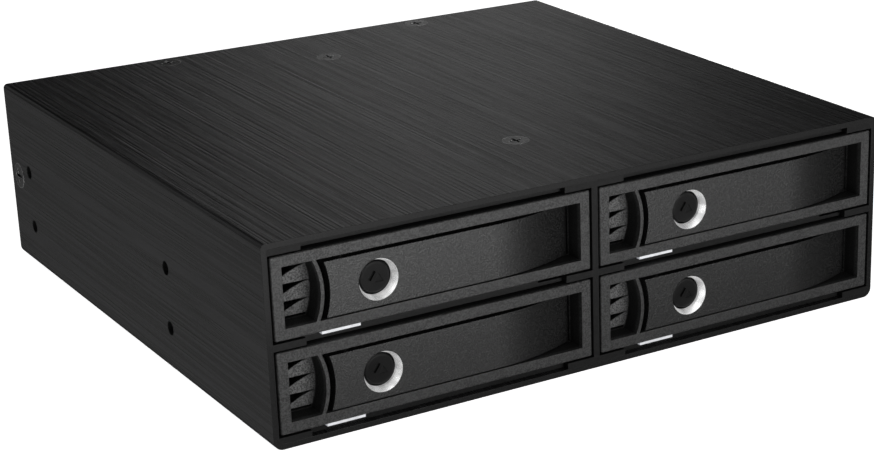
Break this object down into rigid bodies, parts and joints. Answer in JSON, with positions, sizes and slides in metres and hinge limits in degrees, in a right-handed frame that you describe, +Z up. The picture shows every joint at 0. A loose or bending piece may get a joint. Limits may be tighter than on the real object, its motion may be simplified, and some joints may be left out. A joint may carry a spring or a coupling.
{
  "type": "drive cage",
  "caption": "Flat black metal cage that fills a half-height drive bay and takes small hot-swap drives on lever-latched trays, with fans at the back.",
  "frame": {"origin": "centre of the underside", "axes": "+X to the right seen from the front, +Y towards the back, +Z up"},
  "size_m": [0.146, 0.1386, 0.0415],
  "materials": {
    "anodised_shell": "brushed, black anodised",
    "black_frame": "satin black",
    "rear_metal": "satin black",
    "circuit_board": "solder mask over glass fibre",
    "connector_plastic": "moulded",
    "brass_pillar": "turned",
    "bright_steel": "zinc plated",
    "black_screw": "black zinc",
    "fan_plastic": "moulded",
    "bezel_plastic": "fine moulded grain",
    "lever_plastic": "fine moulded grain",
    "sled_metal": "satin black",
    "light_plastic": "frosted clear",
    "bright_ring": "bright plated",
    "dial_plastic": "satin"
  },
  "bodies": {
    "cage": {"outer_shell": "anodised_shell", "top_liner": "black_frame", "bottom_liner": "black_frame", "centre_divider": "black_frame", "shelf_left": "black_frame", "shelf_right": "black_frame", "rear_plate": "rear_metal", "backplane_board": "circuit_board", "drive_connectors": "connector_plastic", "data_connectors": "connector_plastic", "power_connectors": "connector_plastic", "board_standoffs": "brass_pillar", "board_screws": "bright_steel", "shell_screws": "black_screw", "rear_screws": "black_screw", "fan_frame_left": "fan_plastic", "fan_frame_right": "fan_plastic"},
    "fan_left": {"fan_rotor_left": "fan_plastic"},
    "fan_right": {"fan_rotor_right": "fan_plastic"},
    "tray_top_left": {"tray_bezel_top_left": "bezel_plastic", "tray_sled_top_left": "sled_metal", "sled_screws_top_left": "bright_steel", "light_pipe_top_left": "light_plastic", "hinge_pin_top_left": "bright_steel", "button_spring_top_left": "bright_steel"},
    "lever_top_left": {"release_lever_top_left": "lever_plastic", "lock_ring_top_left": "bright_ring"},
    "plunger_top_left": {"lock_plunger_top_left": "dial_plastic"},
    "dial_top_left": {"lock_dial_top_left": "dial_plastic"},
    "tray_top_right": {"tray_bezel_top_right": "bezel_plastic", "tray_sled_top_right": "sled_metal", "sled_screws_top_right": "bright_steel", "light_pipe_top_right": "light_plastic", "hinge_pin_top_right": "bright_steel", "button_spring_top_right": "bright_steel"},
    "lever_top_right": {"release_lever_top_right": "lever_plastic", "lock_ring_top_right": "bright_ring"},
    "plunger_top_right": {"lock_plunger_top_right": "dial_plastic"},
    "dial_top_right": {"lock_dial_top_right": "dial_plastic"},
    "tray_bottom_left": {"tray_bezel_bottom_left": "bezel_plastic", "tray_sled_bottom_left": "sled_metal", "sled_screws_bottom_left": "bright_steel", "light_pipe_bottom_left": "light_plastic", "hinge_pin_bottom_left": "bright_steel", "button_spring_bottom_left": "bright_steel"},
    "lever_bottom_left": {"release_lever_bottom_left": "lever_plastic", "lock_ring_bottom_left": "bright_ring"},
    "plunger_bottom_left": {"lock_plunger_bottom_left": "dial_plastic"},
    "dial_bottom_left": {"lock_dial_bottom_left": "dial_plastic"},
    "tray_bottom_right": {"tray_bezel_bottom_right": "bezel_plastic", "tray_sled_bottom_right": "sled_metal", "sled_screws_bottom_right": "bright_steel", "light_pipe_bottom_right": "light_plastic", "hinge_pin_bottom_right": "bright_steel", "button_spring_bottom_right": "bright_steel"},
    "lever_bottom_right": {"release_lever_bottom_right": "lever_plastic", "lock_ring_bottom_right": "bright_ring"},
    "plunger_bottom_right": {"lock_plunger_bottom_right": "dial_plastic"},
    "dial_bottom_right": {"lock_dial_bottom_right": "dial_plastic"}
  },
  "joints": [
    {"name": "tray_slide_top_left", "type": "slide", "parent": "cage", "child": "tray_top_left", "axis": [0, -1, 0], "range_m": [0, 0.125]},
    {"name": "lever_swing_top_left", "type": "hinge", "parent": "tray_top_left", "child": "lever_top_left", "pos_m": [-0.05607, -0.06685, 0.02983], "axis": [0, 0, -1], "range_deg": [0, 75]},
    {"name": "button_press_top_left", "type": "slide", "parent": "tray_top_left", "child": "plunger_top_left", "axis": [0, 1, 0], "range_m": [0, 0.0012], "stiffness_N_per_m": 600, "springref_m": -0.0008, "deforming": ["button_spring_top_left"]},
    {"name": "dial_turn_top_left", "type": "hinge", "parent": "plunger_top_left", "child": "dial_top_left", "pos_m": [-0.04918, -0.06785, 0.02983], "axis": [0, 1, 0], "range_deg": [0, 90]},
    {"name": "tray_slide_top_right", "type": "slide", "parent": "cage", "child": "tray_top_right", "axis": [0, -1, 0], "range_m": [0, 0.125]},
    {"name": "lever_swing_top_right", "type": "hinge", "parent": "tray_top_right", "child": "lever_top_right", "pos_m": [0.01648, -0.06685, 0.02983], "axis": [0, 0, -1], "range_deg": [0, 75]},
    {"name": "button_press_top_right", "type": "slide", "parent": "tray_top_right", "child": "plunger_top_right", "axis": [0, 1, 0], "range_m": [0, 0.0012], "stiffness_N_per_m": 600, "springref_m": -0.0008, "deforming": ["button_spring_top_right"]},
    {"name": "dial_turn_top_right", "type": "hinge", "parent": "plunger_top_right", "child": "dial_top_right", "pos_m": [0.02337, -0.06785, 0.02983], "axis": [0, 1, 0], "range_deg": [0, 90]},
    {"name": "tray_slide_bottom_left", "type": "slide", "parent": "cage", "child": "tray_bottom_left", "axis": [0, -1, 0], "range_m": [0, 0.125]},
    {"name": "lever_swing_bottom_left", "type": "hinge", "parent": "tray_bottom_left", "child": "lever_bottom_left", "pos_m": [-0.05607, -0.06685, 0.01082], "axis": [0, 0, -1], "range_deg": [0, 75]},
    {"name": "button_press_bottom_left", "type": "slide", "parent": "tray_bottom_left", "child": "plunger_bottom_left", "axis": [0, 1, 0], "range_m": [0, 0.0012], "stiffness_N_per_m": 600, "springref_m": -0.0008, "deforming": ["button_spring_bottom_left"]},
    {"name": "dial_turn_bottom_left", "type": "hinge", "parent": "plunger_bottom_left", "child": "dial_bottom_left", "pos_m": [-0.04918, -0.06785, 0.01082], "axis": [0, 1, 0], "range_deg": [0, 90]},
    {"name": "tray_slide_bottom_right", "type": "slide", "parent": "cage", "child": "tray_bottom_right", "axis": [0, -1, 0], "range_m": [0, 0.125]},
    {"name": "lever_swing_bottom_right", "type": "hinge", "parent": "tray_bottom_right", "child": "lever_bottom_right", "pos_m": [0.01648, -0.06685, 0.01082], "axis": [0, 0, -1], "range_deg": [0, 75]},
    {"name": "button_press_bottom_right", "type": "slide", "parent": "tray_bottom_right", "child": "plunger_bottom_right", "axis": [0, 1, 0], "range_m": [0, 0.0012], "stiffness_N_per_m": 600, "springref_m": -0.0008, "deforming": ["button_spring_bottom_right"]},
    {"name": "dial_turn_bottom_right", "type": "hinge", "parent": "plunger_bottom_right", "child": "dial_bottom_right", "pos_m": [0.02337, -0.06785, 0.01082], "axis": [0, 1, 0], "range_deg": [0, 90]},
    {"name": "fan_spin_left", "type": "hinge", "parent": "cage", "child": "fan_left", "pos_m": [-0.0505, 0.06275, 0.02075], "axis": [0, 1, 0], "continuous": true},
    {"name": "fan_spin_right", "type": "hinge", "parent": "cage", "child": "fan_right", "pos_m": [0.0505, 0.06275, 0.02075], "axis": [0, 1, 0], "continuous": true}
  ]
}
